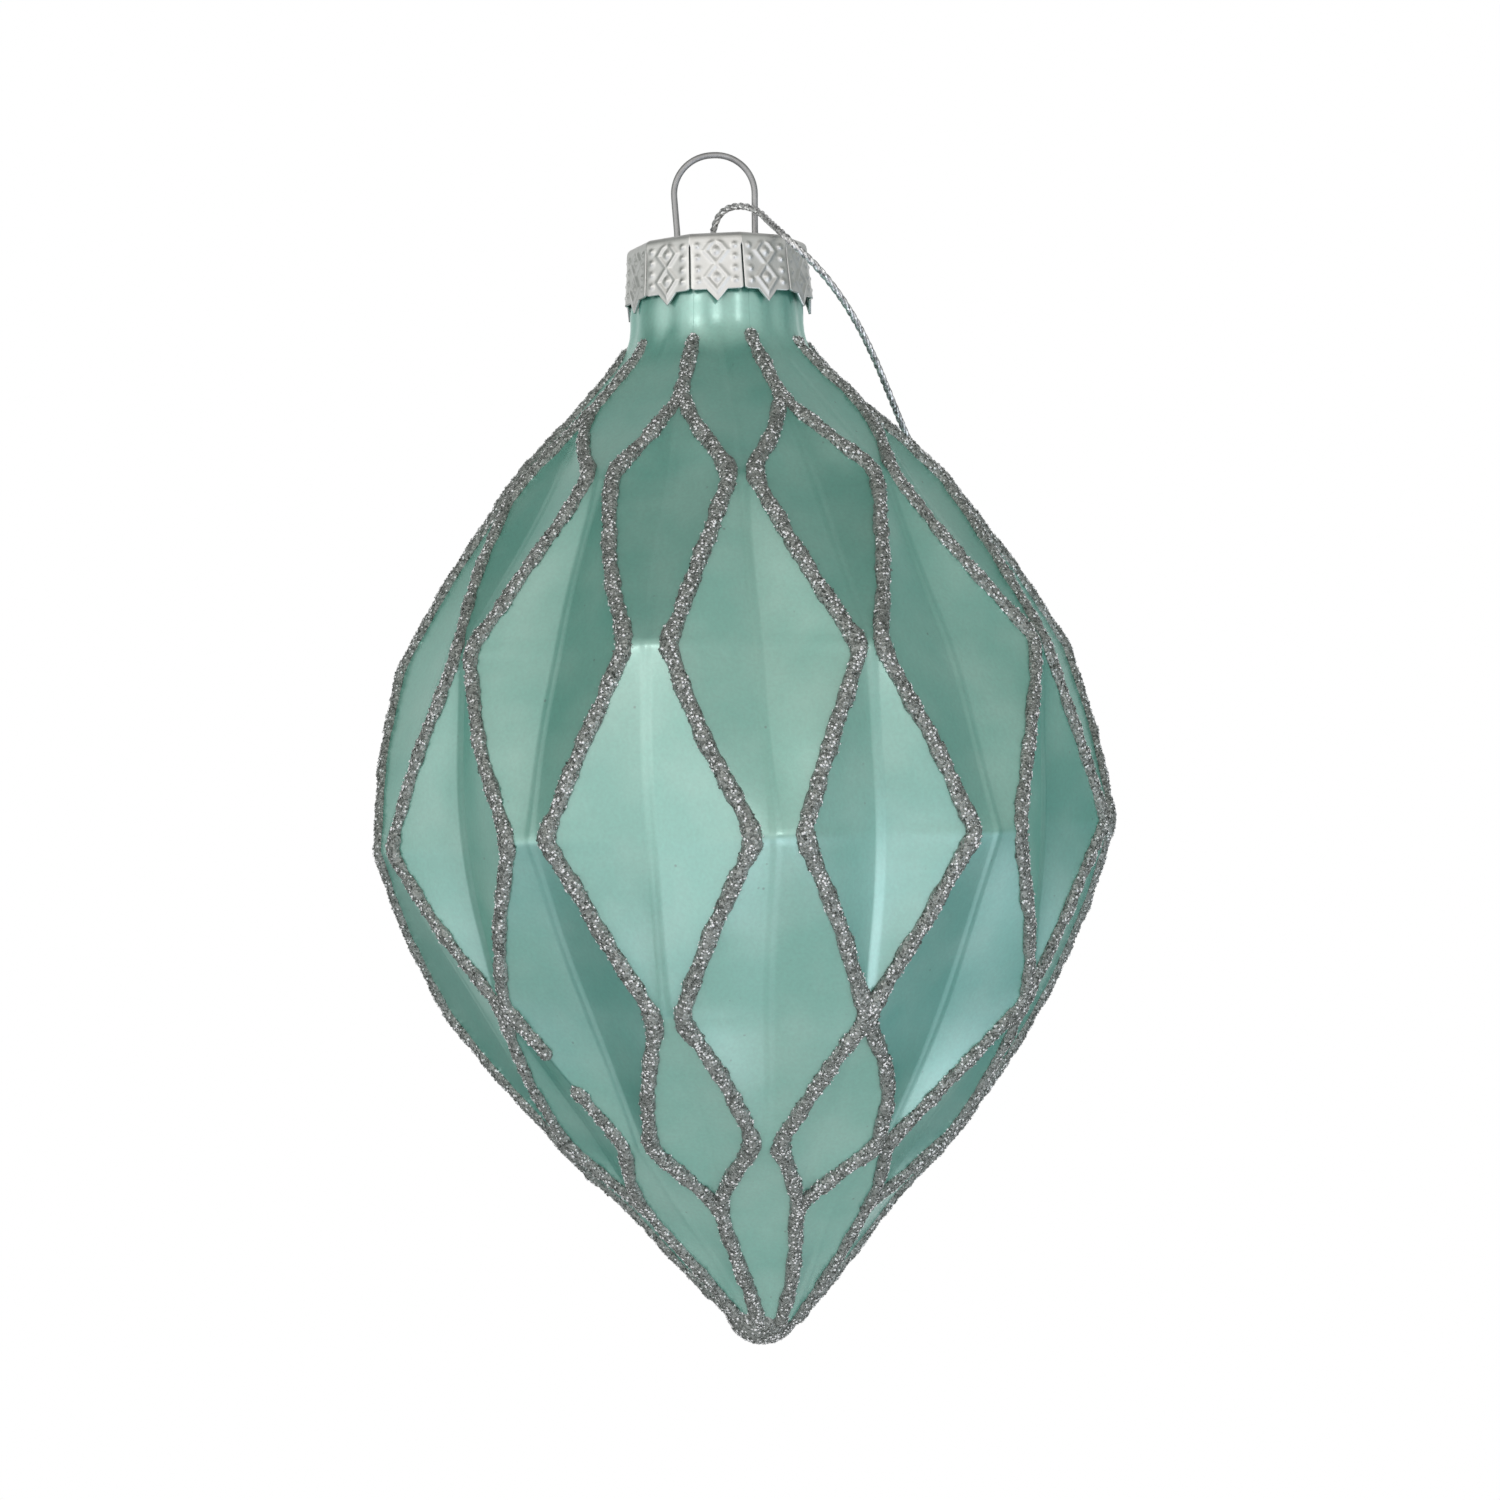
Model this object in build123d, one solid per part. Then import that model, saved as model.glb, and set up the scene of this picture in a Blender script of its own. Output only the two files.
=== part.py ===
from build123d import *
import os
from math import cos, pi, radians, sin, tan

# A blown glass hanging ornament: a long faceted bauble with a crown cap, a sprung wire hanger and a cord.
# Millimetres, +Z up. The origin is the inside top of the hanger's loop, where a hook would carry it.
# -Y is the front. Heights in the names below are measured from the widest row of facets.

WIDEST_Z = -80.1            # the widest row, below the origin

# glass: interleaved diamond cells, whose side corners lie on these rows (radius, height)
COLUMNS = 10
PHASE = 4.0                 # degrees that the front column is turned about Z
ROWS = [(18.3, 48.8), (26.4, 40.3), (39.1, 20.8), (43.4, 0.0), (35.4, -19.2), (23.8, -34.5), (15.8, -42.7)]
CREASE = 0.92               # radius of a cell's vertical crease over the radius of its row
END_RING = (3.6, -56.9)     # where the point is blunted
END_HEIGHT = -58.8
WALL = 1.25                 # measured level, so it is thinner on the slopes

# neck
NECK_RADIUS = 10.15
NECK_FOOT = 57.6
NECK_TAPER = (62.6, 65.2)   # narrows between these heights, under the cap
RIM_RADIUS = 9.4
RIM_HEIGHT = 69.1
RIM_ROUND = 0.4
BORE_RADIUS = 8.6

# crown cap of thin sheet, with flat panels that end in a tooth
PANELS = 11
CAP_TURN = -0.5             # degrees that the front panel is turned about Z
CAP_TOP = 69.5
CAP_TOP_RADIUS = 10.7       # to a corner between panels
SKIRT_HEIGHT = 62.8
TOOTH_HEIGHT = 61.4
TOOTH_RADIUS = 11.4
TOOTH_WIDTH = 2.4
SHEET = 0.3
RIM_BEND = 0.9
SLIT = 0.25
SLIT_TOP = 68.2
WIRE_HOLE_RADIUS = 0.6

# wire hanger
WIRE = 0.75
LOOP_TOP = 80.475           # centre of the wire
LOOP_HALF_WIDTH = 4.95
LEG_SPACING = 9.2
LEG_STRAIGHT = (71.5, 63.5)
LEG_SPREAD = (7.75, 47.6)   # half spread of the sprung ends and their height
LEG_HOOK = (6.1, 46.6)
LEG_HOOK_END = (5.2, 49.0)

# glitter lines
BEAD = 1.0                  # radius
BEAD_SUNK = 0.3             # the bead's centre below the glass
VERTEX_GAP = 2.1            # from a corner of the lattice to the line beside it
STEM_TOP = 59.0
TIP_BEAD_RADIUS = 4.7
TIP_BEAD_HEIGHT = -55.2

# cord, from the knot up behind the glass, through the loop from the back, over the cap's edge and round again
CORD = 0.8
KNOT_RADIUS = 1.5
KNOT = (22.9, 39.1, -96.3)
CORD_ROUTE = [
    (22.4, 39.3, -95.4),
    (21.4, 40.5, -87.0),
    (19.7, 41.7, -77.5),
    (17.2, 40.6, -67.0),
    (14.4, 38.2, -57.6),
    (11.1, 32.6, -48.6),
    (8.0, 27.2, -40.0),
    (5.0, 21.6, -32.4),
    (3.1, 16.6, -25.0),
    (2.2, 14.4, -17.8),
    (1.4, 13.4, -11.6),
    (0.5, 11.3, -8.1),
    (-0.4, 7.6, -8.2),
    (-0.5, 4.6, -8.0),
    (0.5, 2.6, -5.9),
    (2.6, 0.6, -5.5),
    (4.9, -1.9, -6.6),
    (6.4, -5.0, -8.9),
    (7.2, -8.2, -10.3),
    (8.7, -9.7, -12.2),
    (11.0, -9.0, -14.9),
    (13.3, -6.8, -17.9),
    (15.3, -4.4, -20.9),
    (17.2, -1.6, -24.5),
    (19.0, 1.8, -28.6),
    (21.2, 5.6, -33.4),
    (25.4, 12.4, -40.6),
    (28.4, 20.2, -49.0),
    (29.8, 28.6, -58.4),
    (28.6, 34.2, -67.6),
    (26.6, 37.2, -77.4),
    (24.8, 38.9, -86.6),
    (23.5, 39.0, -95.4),
]

HALF_STEP = 180 / COLUMNS


def at(radius, height, half_steps):
    """A point on the lattice: even half steps are the columns in line with the front one."""
    angle = radians(PHASE + HALF_STEP * half_steps)
    return Vector(radius * sin(angle), -radius * cos(angle), WIDEST_Z + height)


def corner(row, column, side, inset=0.0):
    """The lattice corner of a row on one side of an odd column."""
    radius, height = ROWS[row]
    return at(radius - inset, height, column if row % 2 == 0 else column + side)


def crease(row, column, side, inset=0.0):
    """The middle of the crease of the cell that has its side corners on a row."""
    radius, height = ROWS[row]
    return at(CREASE * radius - inset, height, column + side if row % 2 == 0 else column)


def half_column(column, side, inset, neck_radius, end_height):
    """The triangles between an odd column and the even column beside it, from the neck to the point."""
    ridge = [corner(row, column, side, inset) for row in range(len(ROWS))]
    middle = [crease(row, column, side, inset) for row in range(len(ROWS))]
    neck = [at(neck_radius, NECK_FOOT, column), at(neck_radius, NECK_FOOT, column + side)]
    ring = [at(END_RING[0] - inset, END_RING[1], column), at(END_RING[0] - inset, END_RING[1], column + side)]
    end = Vector(0, 0, WIDEST_Z + end_height)
    triangles = [(neck[0], ridge[0], middle[0]), (neck[0], neck[1], middle[0])]
    for upper in range(len(ROWS) - 1):
        triangles.append((ridge[upper], ridge[upper + 1], middle[upper]))
        triangles.append((ridge[upper], ridge[upper + 1], middle[upper + 1]))
    triangles.append((ridge[-1], middle[-1], ring[0]))
    triangles.append((ring[0], ring[1], middle[-1]))
    triangles.append((ring[0], ring[1], end))
    return triangles


def facet_body(inset, neck_radius, end_height):
    """The faceted body as a solid, closed flat across the neck."""
    triangles = []
    for column in range(1, 2 * COLUMNS, 2):
        for side in (-1, 1):
            triangles += half_column(column, side, inset, neck_radius, end_height)
    lid = [at(neck_radius, NECK_FOOT, step) for step in range(2 * COLUMNS)]
    faces = [Face(Wire.make_polygon(points, close=True)) for points in triangles + [lid]]
    return Solid(Shell(faces))


def turned(profile):
    """A solid of revolution about Z from (radius, height) points."""
    points = [(radius, 0, WIDEST_Z + height) for radius, height in profile]
    return revolve(Plane.XZ * make_face(Plane.XZ.to_local_coords(Polyline(*points, close=True))), Axis.Z)


def neck():
    taper_low, taper_high = NECK_TAPER
    profile = [
        (0, NECK_FOOT - 1), (NECK_RADIUS, NECK_FOOT - 1), (NECK_RADIUS, taper_low), (RIM_RADIUS, taper_high),
        (RIM_RADIUS, RIM_HEIGHT - RIM_ROUND), (RIM_RADIUS - RIM_ROUND, RIM_HEIGHT), (0, RIM_HEIGHT),
    ]
    return turned(profile)


def glass_shell(outside):
    bore = turned([(0, NECK_FOOT - 0.5), (BORE_RADIUS, NECK_FOOT - 0.5), (BORE_RADIUS, RIM_HEIGHT + 1),
                   (0, RIM_HEIGHT + 1)])
    hollow = facet_body(WALL, BORE_RADIUS, END_HEIGHT + WALL)
    return outside - hollow - bore


def line_points(column, side):
    """The way of one glitter line down one side of a column: beside each corner, and over each ridge."""
    points = [corner(0, column, side)]
    for row in range(1, len(ROWS) - 1):
        points.append((corner(row - 1, column, side) + corner(row, column, side)) * 0.5)
        here, inner = corner(row, column, side), crease(row, column, side)
        points.append(here + (inner - here).normalized() * VERTEX_GAP)
    points.append((corner(len(ROWS) - 2, column, side) + corner(len(ROWS) - 1, column, side)) * 0.5)
    points.append(corner(len(ROWS) - 1, column, side))
    return points


def sunk(point):
    """The same point, moved towards the axis by the depth that a bead lies in."""
    level = Vector(point.X, point.Y, 0)
    return point - level.normalized() * BEAD_SUNK


def bead(points):
    """Round bars along the points, with a ball at each."""
    shape = Pos(*points[0]) * Sphere(BEAD)
    for start, end in zip(points, points[1:]):
        along = end - start
        bar = Plane(origin=(start + end) * 0.5, z_dir=along) * Cylinder(BEAD, along.length)
        shape = shape + bar + Pos(*end) * Sphere(BEAD)
    return shape


def glitter_line(outside):
    """One column's two glitter lines with the stems that they part from and join in."""
    column = 1
    last = len(ROWS) - 1
    stem = [at(NECK_RADIUS, STEM_TOP, column), at(NECK_RADIUS, NECK_FOOT, column), corner(0, column, 1)]
    foot = [corner(last, column, 1), at(*END_RING, column)]
    shape = bead([sunk(p) for p in stem]) + bead([sunk(p) for p in foot])
    for side in (-1, 1):
        shape = shape + bead([sunk(p) for p in line_points(column, side)])
    return shape - outside


def cap_polygon(radius, height):
    flat_to_front = 270 - 180 / PANELS + CAP_TURN
    return Pos(0, 0, WIDEST_Z + height) * RegularPolygon(radius, PANELS, rotation=flat_to_front)


def cap_cone(inset, top):
    """The cap's outline as a solid, flaring down to the tips of the teeth."""
    upper, lower = cap_polygon(CAP_TOP_RADIUS - inset, top), cap_polygon(TOOTH_RADIUS - inset, TOOTH_HEIGHT)
    body = loft([upper, lower])
    return fillet(body.edges().group_by(Axis.Z)[-1], RIM_BEND - inset)


def between_teeth():
    """The waste from one tooth's middle to the next panel's edge, on both sides, in a panel's front view."""
    half_panel = TOOTH_RADIUS * sin(pi / PANELS) + 0.2
    skirt, tip = WIDEST_Z + SKIRT_HEIGHT, WIDEST_Z + TOOTH_HEIGHT
    waste = None
    for side in (-1, 1):
        outline = Polyline((0, tip), (side * TOOTH_WIDTH / 2, skirt), (side * half_panel, skirt),
                           (side * half_panel, tip - 1), (0, tip - 1), close=True)
        piece = extrude(Plane.XZ * make_face(outline), amount=TOOTH_RADIUS + 2)
        waste = piece if waste is None else waste + piece
    return waste - Pos(0, 0, tip) * Cylinder(BORE_RADIUS, 10)


def cap():
    shape = cap_cone(0, CAP_TOP) - cap_cone(SHEET, CAP_TOP - SHEET)
    waste = between_teeth()
    slit_middle = WIDEST_Z + (SLIT_TOP + TOOTH_HEIGHT) / 2 - 1
    slit = Pos(0, -TOOTH_RADIUS, slit_middle) * Box(SLIT, 6, SLIT_TOP - TOOTH_HEIGHT + 2)
    for panel in range(PANELS):
        turn = CAP_TURN + panel * 360 / PANELS
        shape = shape - Rot(0, 0, turn) * waste - Rot(0, 0, turn + 180 / PANELS) * slit
    for side in (-1, 1):
        shape = shape - Pos(side * LEG_SPACING / 2, 0, WIDEST_Z + CAP_TOP) * Cylinder(WIRE_HOLE_RADIUS, 3)
    return shape


def wire_hanger():
    half = [LEG_HOOK_END, LEG_HOOK, LEG_SPREAD, (LEG_SPACING / 2, LEG_STRAIGHT[1]),
            (LEG_SPACING / 2, LEG_STRAIGHT[0]), (LOOP_HALF_WIDTH, LOOP_TOP)]
    points = [(x, 0, WIDEST_Z + z) for x, z in half] + [(-x, 0, WIDEST_Z + z) for x, z in reversed(half)]
    bends = [0.7, 0.8, 4, 6, 4.6]
    path = FilletPolyline(*points, radius=bends + bends[::-1])
    return sweep(Plane(path @ 0, z_dir=path % 0) * Circle(WIRE / 2), path=path)


def bend_radii(route):
    """Each corner's arc, as large as its two runs allow."""
    radii = []
    for before, here, after in zip(route, route[1:], route[2:]):
        first, second = Vector(*here) - Vector(*before), Vector(*after) - Vector(*here)
        half_turn = radians(first.get_angle(second)) / 2
        radii.append(0.45 * min(first.length, second.length) / tan(half_turn))
    return radii


def cord():
    radii = bend_radii(CORD_ROUTE)
    path = FilletPolyline(*CORD_ROUTE, radius=radii)
    tube = sweep(Plane(path @ 0, z_dir=path % 0) * Circle(CORD / 2), path=path)
    print("cord radii", [round(radius, 1) for radius in radii])
    print("cord length", round(path.length, 1), "volume", round(tube.volume, 2),
          "section times length", round(pi * CORD ** 2 / 4 * path.length, 2))
    return tube


def cord_knot():
    return Pos(*KNOT) * Sphere(KNOT_RADIUS)


def main():
    outside = facet_body(0, NECK_RADIUS, END_HEIGHT) + neck()
    tip_bead = Pos(0, 0, WIDEST_Z + TIP_BEAD_HEIGHT) * Sphere(TIP_BEAD_RADIUS) - outside
    line = glitter_line(outside)
    nodes = {
        "glass_shell": glass_shell(outside),
        "glitter_tip": tip_bead,
        "cap": cap(),
        "wire_hanger": wire_hanger(),
        "cord": cord(),
        "cord_knot": cord_knot(),
    }
    for number in range(COLUMNS):
        turned_line = Rot(0, 0, number * 360 / COLUMNS) * line
        nodes[f"glitter_line_{number + 1:02d}"] = turned_line - tip_bead
    os.makedirs("parts", exist_ok=True)
    for name, shape in nodes.items():
        export_step(shape, f"parts/{name}.step")


main()
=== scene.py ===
from math import cos, pi, radians, sin, tan

import bpy
import numpy as np
from mathutils import Euler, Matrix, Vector, geometry


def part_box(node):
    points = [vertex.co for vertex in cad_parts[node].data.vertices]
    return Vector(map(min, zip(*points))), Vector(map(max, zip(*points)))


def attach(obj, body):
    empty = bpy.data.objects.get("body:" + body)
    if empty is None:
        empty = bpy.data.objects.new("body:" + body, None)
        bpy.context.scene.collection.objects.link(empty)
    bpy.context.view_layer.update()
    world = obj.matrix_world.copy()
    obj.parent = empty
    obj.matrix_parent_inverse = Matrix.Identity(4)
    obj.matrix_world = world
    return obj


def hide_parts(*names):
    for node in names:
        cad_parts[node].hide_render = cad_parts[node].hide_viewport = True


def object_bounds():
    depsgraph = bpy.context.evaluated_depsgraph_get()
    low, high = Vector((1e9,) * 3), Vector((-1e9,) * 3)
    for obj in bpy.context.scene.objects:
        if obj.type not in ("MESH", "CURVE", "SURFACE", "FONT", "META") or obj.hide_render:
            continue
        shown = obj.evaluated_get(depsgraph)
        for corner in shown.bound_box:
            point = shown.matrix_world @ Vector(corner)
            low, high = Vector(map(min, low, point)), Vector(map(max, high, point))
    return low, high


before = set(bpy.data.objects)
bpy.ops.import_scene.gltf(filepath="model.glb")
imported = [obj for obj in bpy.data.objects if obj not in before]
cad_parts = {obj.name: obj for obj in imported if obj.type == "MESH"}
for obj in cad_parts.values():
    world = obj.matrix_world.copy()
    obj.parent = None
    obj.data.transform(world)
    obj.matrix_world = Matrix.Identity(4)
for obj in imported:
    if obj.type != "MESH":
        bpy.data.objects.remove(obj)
cad_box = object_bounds()

# Shapes are worked out in millimetres and become metres in new_mesh.
MM = 0.001


# ---------------------------------------------------------------- sizes, mm, as the CAD model has them

COLUMNS = 10
PHASE = 4.0
ROWS = [(18.3, 48.8), (26.4, 40.3), (39.1, 20.8), (43.4, 0.0), (35.4, -19.2), (23.8, -34.5), (15.8, -42.7)]
CREASE = 0.92
END_RING = (3.6, -56.9)
END_HEIGHT = -58.8
WALL = 1.25
NECK_RADIUS = 10.15
NECK_FOOT = 57.6
NECK_TAPER = (62.6, 65.2)
RIM_RADIUS = 9.4
RIM_HEIGHT = 69.1
BORE_RADIUS = 8.6
PANELS = 11
CAP_TURN = -0.5
CAP_TOP = 69.5
CAP_TOP_RADIUS = 10.7
SKIRT_HEIGHT = 62.8
TOOTH_HEIGHT = 61.4
TOOTH_RADIUS = 11.4
TOOTH_WIDTH = 2.4
SHEET = 0.3
RIM_BEND = 0.9
SLIT = 0.25
SLIT_TOP = 68.2
WIRE_HOLE_RADIUS = 0.6
LEG_SPACING = 9.2
STEM_TOP = 57.9
TIP_BEAD_RADIUS = 4.4
TIP_BEAD_HEIGHT = -55.2

# The widest row's height in the frame: the glass ends at its rim.
WIDEST_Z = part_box("glass_shell")[1][2] / MM - RIM_HEIGHT
HALF_STEP = pi / COLUMNS


# ---------------------------------------------------------------- small helpers

def new_mesh(name, points, faces, materials, body, slots_of_faces=None):
    """A piece from points in millimetres, with heights from the widest row, riding on a body."""
    points = (np.asarray(points, float) + [0, 0, WIDEST_Z]) * MM
    mesh = bpy.data.meshes.new(name)
    mesh.from_pydata(points.tolist(), [], faces if isinstance(faces, list) else faces.tolist())
    for material in materials:
        mesh.materials.append(material)
    if slots_of_faces is not None:
        mesh.polygons.foreach_set("material_index", np.asarray(slots_of_faces, np.int32))
    mesh.polygons.foreach_set("use_smooth", np.full(len(mesh.polygons), True))
    mesh.update()
    piece = bpy.data.objects.new(name, mesh)
    bpy.context.scene.collection.objects.link(piece)
    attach(piece, body)
    return piece


def eased(z, knots, reach):
    """The straight lines through (height, value) knots, each corner rounded over reach to both sides.

    A knot may give a reach of its own after its value."""
    knots = sorted((*knot, reach)[:3] for knot in knots)
    heights, values, reaches = np.array(knots, float).T
    slopes = np.diff(values) / np.diff(heights)
    result = np.interp(z, heights, values)
    for knot in range(1, len(knots) - 1):
        near = np.clip(reaches[knot] - np.abs(z - heights[knot]), 0, None)
        result = result + (slopes[knot] - slopes[knot - 1]) * near ** 2 / (4 * reaches[knot])
    return result


def wobble(along, random, pitch):
    """Smooth noise of about one unit along a line, with waves of about pitch."""
    total = np.zeros_like(along)
    for share in (1.0, 0.55, 0.3):
        total += np.sin(along * 2 * pi / (pitch * share) + random.uniform(0, 2 * pi)) * share
    return total / 1.2


def unit(vectors):
    """Vectors of length one the same way."""
    return vectors / np.maximum(np.linalg.norm(vectors, axis=-1, keepdims=True), 1e-9)


def ring_faces(rings, across, closed=True):
    """Quads between rings of points, one ring after another."""
    count = across if closed else across - 1
    ring, side = np.meshgrid(np.arange(rings - 1), np.arange(count), indexing="ij")
    here, beside = ring * across + side, ring * across + (side + 1) % across
    return np.stack([here, beside, beside + across, here + across], -1).reshape(-1, 4)


def lengths_along(line):
    """How far along a line each of its points is."""
    return np.concatenate([[0], np.cumsum(np.linalg.norm(np.diff(line, axis=0), axis=1))])


def points_at(places, along, line):
    """The points at those places along a line."""
    return np.stack([np.interp(places, along, line[:, axis]) for axis in range(3)], -1)


# ---------------------------------------------------------------- materials

PAINTED_SHADE_REACH = 2.2                     # how far from the glitter the painted shade reaches into the lacquer's colour, mm

def material(name):
    """A new material with its nodes, links and principled shader."""
    made = bpy.data.materials.new(name)
    made.use_nodes = True
    return made, made.node_tree.nodes, made.node_tree.links, made.node_tree.nodes["Principled BSDF"]


def noise(nodes, links, scale, detail=3.0, kind="ShaderNodeTexNoise"):
    """A noise texture in the object's own metres."""
    place = nodes.new("ShaderNodeTexCoord")
    texture = nodes.new(kind)
    texture.inputs["Scale"].default_value = scale
    if kind == "ShaderNodeTexNoise":
        texture.inputs["Detail"].default_value = detail
    links.new(place.outputs["Object"], texture.inputs["Vector"])
    return texture


def ramp(nodes, links, source, stops):
    """A colour ramp from (position, colour or grey) stops."""
    node = nodes.new("ShaderNodeValToRGB")
    elements = node.color_ramp.elements
    while len(elements) < len(stops):
        elements.new(0.5)
    for element, (position, colour) in zip(elements, stops):
        element.position = position
        element.color = (*colour, 1) if isinstance(colour, tuple) else (colour, colour, colour, 1)
    links.new(source, node.inputs["Fac"])
    return node.outputs["Color"]


def mixed(nodes, links, blend, factor, first, second):
    """Two colours mixed, each of them and the factor a value or another node's output."""
    node = nodes.new("ShaderNodeMix")
    node.data_type = "RGBA"
    node.blend_type = blend
    for socket, value in zip((node.inputs[0], node.inputs[6], node.inputs[7]), (factor, first, second)):
        if hasattr(value, "is_output"):
            links.new(value, socket)
        else:
            socket.default_value = value
    return node.outputs[2]


def bumped(nodes, links, shader, heights, strength, distance):
    """Bump maps on a shader, one after another."""
    before = None
    for height, share in heights:
        node = nodes.new("ShaderNodeBump")
        node.inputs["Strength"].default_value = strength * share
        node.inputs["Distance"].default_value = distance
        links.new(height, node.inputs["Height"])
        if before is not None:
            links.new(before, node.inputs["Normal"])
        before = node.outputs["Normal"]
    links.new(before, shader.inputs["Normal"])


def lacquered_glass():
    """Satin mint lacquer over silvered glass: a soft sheen, faint clouding, a few dark specks, and painted shade
    that darkens the colour beside the glitter and in the creases."""
    made, nodes, links, shader = material("lacquered_glass")
    cloud = noise(nodes, links, 120, 5)
    grain = noise(nodes, links, 2600, 2)
    ripple = noise(nodes, links, 210, 3)
    speck = noise(nodes, links, 620, 0, "ShaderNodeTexVoronoi")
    pale, deep = (0.205, 0.500, 0.405, 1), (0.115, 0.440, 0.345, 1)
    patches = ramp(nodes, links, cloud.outputs["Fac"], [(0.36, 0.0), (0.66, 1.0)])
    base = mixed(nodes, links, "MIX", patches, deep, pale)
    fine = ramp(nodes, links, grain.outputs["Fac"], [(0.25, 0.90), (0.75, 1.06)])
    base = mixed(nodes, links, "MULTIPLY", 1.0, base, fine)
    dots = ramp(nodes, links, speck.outputs["Distance"], [(0.06, 0.5), (0.12, 1.0)])
    rare = ramp(nodes, links, noise(nodes, links, 380, 2).outputs["Fac"], [(0.58, 1.0), (0.64, 0.0)])
    keep = mixed(nodes, links, "MIX", rare, dots, (1, 1, 1, 1))
    base = mixed(nodes, links, "MULTIPLY", 1.0, base, keep)
    # Painted shade: ambient occlusion darkens the base colour close to the glitter and in the creases.
    near = nodes.new("ShaderNodeAmbientOcclusion")
    near.samples = 4
    near.inputs["Distance"].default_value = PAINTED_SHADE_REACH * MM
    shade = ramp(nodes, links, near.outputs["AO"], [(0.35, (0.42, 0.66, 0.62)), (0.85, 1.0)])
    links.new(mixed(nodes, links, "MULTIPLY", 1.0, base, shade), shader.inputs["Base Color"])
    rough = ramp(nodes, links, cloud.outputs["Fac"], [(0.3, 0.30), (0.7, 0.34)])
    links.new(rough, shader.inputs["Roughness"])
    shader.inputs["Metallic"].default_value = 0.30
    shader.inputs["IOR"].default_value = 3.8
    bumped(nodes, links, shader, [(ripple.outputs["Fac"], 1.0), (grain.outputs["Fac"], 0.5)], 0.045, 0.0004)
    return made


def silvering():
    """The mirror inside the glass, seen through the neck when the cap is off."""
    made, nodes, links, shader = material("silvering")
    cloud = noise(nodes, links, 160, 4)
    links.new(ramp(nodes, links, cloud.outputs["Fac"], [(0.3, (0.52, 0.55, 0.53)), (0.7, (0.70, 0.72, 0.70))]),
              shader.inputs["Base Color"])
    links.new(ramp(nodes, links, cloud.outputs["Fac"], [(0.3, 0.22), (0.7, 0.34)]), shader.inputs["Roughness"])
    shader.inputs["Metallic"].default_value = 1.0
    return made


def glitter_glue():
    """The grey bed that the flakes are set in, itself grainy with smaller flakes."""
    made, nodes, links, shader = material("glitter_glue")
    cells = noise(nodes, links, 3600, 0, "ShaderNodeTexVoronoi")
    tone = ramp(nodes, links, cells.outputs["Color"], [(0.15, (0.12, 0.13, 0.12)), (0.4, (0.26, 0.28, 0.26)),
                                                       (0.8, (0.38, 0.40, 0.38))])
    links.new(tone, shader.inputs["Base Color"])
    links.new(ramp(nodes, links, cells.outputs["Color"], [(0.2, 0.55), (0.8, 0.30)]), shader.inputs["Roughness"])
    shader.inputs["Metallic"].default_value = 0.5
    bumped(nodes, links, shader, [(cells.outputs["Distance"], 1.0)], 0.7, 0.0002)
    return made


def glitter_flake():
    """Grey foil flakes that also reflect the lamps; the tone each gets at random, from dark to pale, is painted
    reflection for how much light it catches.
    """
    made, nodes, links, shader = material("glitter_flake")
    island = nodes.new("ShaderNodeNewGeometry").outputs["Random Per Island"]
    # Painted reflection: the dark-to-pale tones stand in for flakes catching more or less light.
    tone = ramp(nodes, links, island, [(0.0, (0.07, 0.08, 0.07)), (0.30, (0.24, 0.26, 0.24)),
                                       (0.75, (0.42, 0.44, 0.42)), (0.95, (0.75, 0.77, 0.75))])
    links.new(tone, shader.inputs["Base Color"])
    shader.inputs["Roughness"].default_value = 0.4
    shader.inputs["Metallic"].default_value = 0.6
    return made


def painted_glint_flake():
    """Near-white flakes that stand in for the glitter's glints: painted glint, lit by the lamps as well."""
    made, nodes, links, shader = material("painted_glint_flake")
    island = nodes.new("ShaderNodeNewGeometry").outputs["Random Per Island"]
    # Painted glint: the near-white colour makes these flakes bright whichever way they face.
    links.new(ramp(nodes, links, island, [(0.0, (0.70, 0.72, 0.70)), (0.3, (1.0, 1.0, 1.0))]),
              shader.inputs["Base Color"])
    shader.inputs["Roughness"].default_value = 0.22
    shader.inputs["Metallic"].default_value = 0.0
    shader.inputs["IOR"].default_value = 2.8
    return made


def stamped_sheet():
    """Satin aluminium sheet with fine rolling marks and dulled patches."""
    made, nodes, links, shader = material("stamped_sheet")
    cloud = noise(nodes, links, 420, 4)
    fine = noise(nodes, links, 5200, 2)
    links.new(ramp(nodes, links, cloud.outputs["Fac"], [(0.3, (0.68, 0.68, 0.66)), (0.7, (0.78, 0.78, 0.76))]),
              shader.inputs["Base Color"])
    links.new(ramp(nodes, links, cloud.outputs["Fac"], [(0.3, 0.42), (0.7, 0.50)]), shader.inputs["Roughness"])
    shader.inputs["Metallic"].default_value = 1.0
    bumped(nodes, links, shader, [(fine.outputs["Fac"], 1.0)], 0.12, 0.0001)
    return made


def drawn_wire():
    """Bright drawn steel, a little dulled."""
    made, nodes, links, shader = material("drawn_wire")
    cloud = noise(nodes, links, 900, 4)
    links.new(ramp(nodes, links, cloud.outputs["Fac"], [(0.3, (0.36, 0.36, 0.36)), (0.7, (0.48, 0.48, 0.48))]),
              shader.inputs["Base Color"])
    links.new(ramp(nodes, links, cloud.outputs["Fac"], [(0.3, 0.45), (0.7, 0.58)]), shader.inputs["Roughness"])
    shader.inputs["Metallic"].default_value = 1.0
    bumped(nodes, links, shader, [(noise(nodes, links, 6000, 2).outputs["Fac"], 1.0)], 0.15, 0.0001)
    return made


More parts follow.
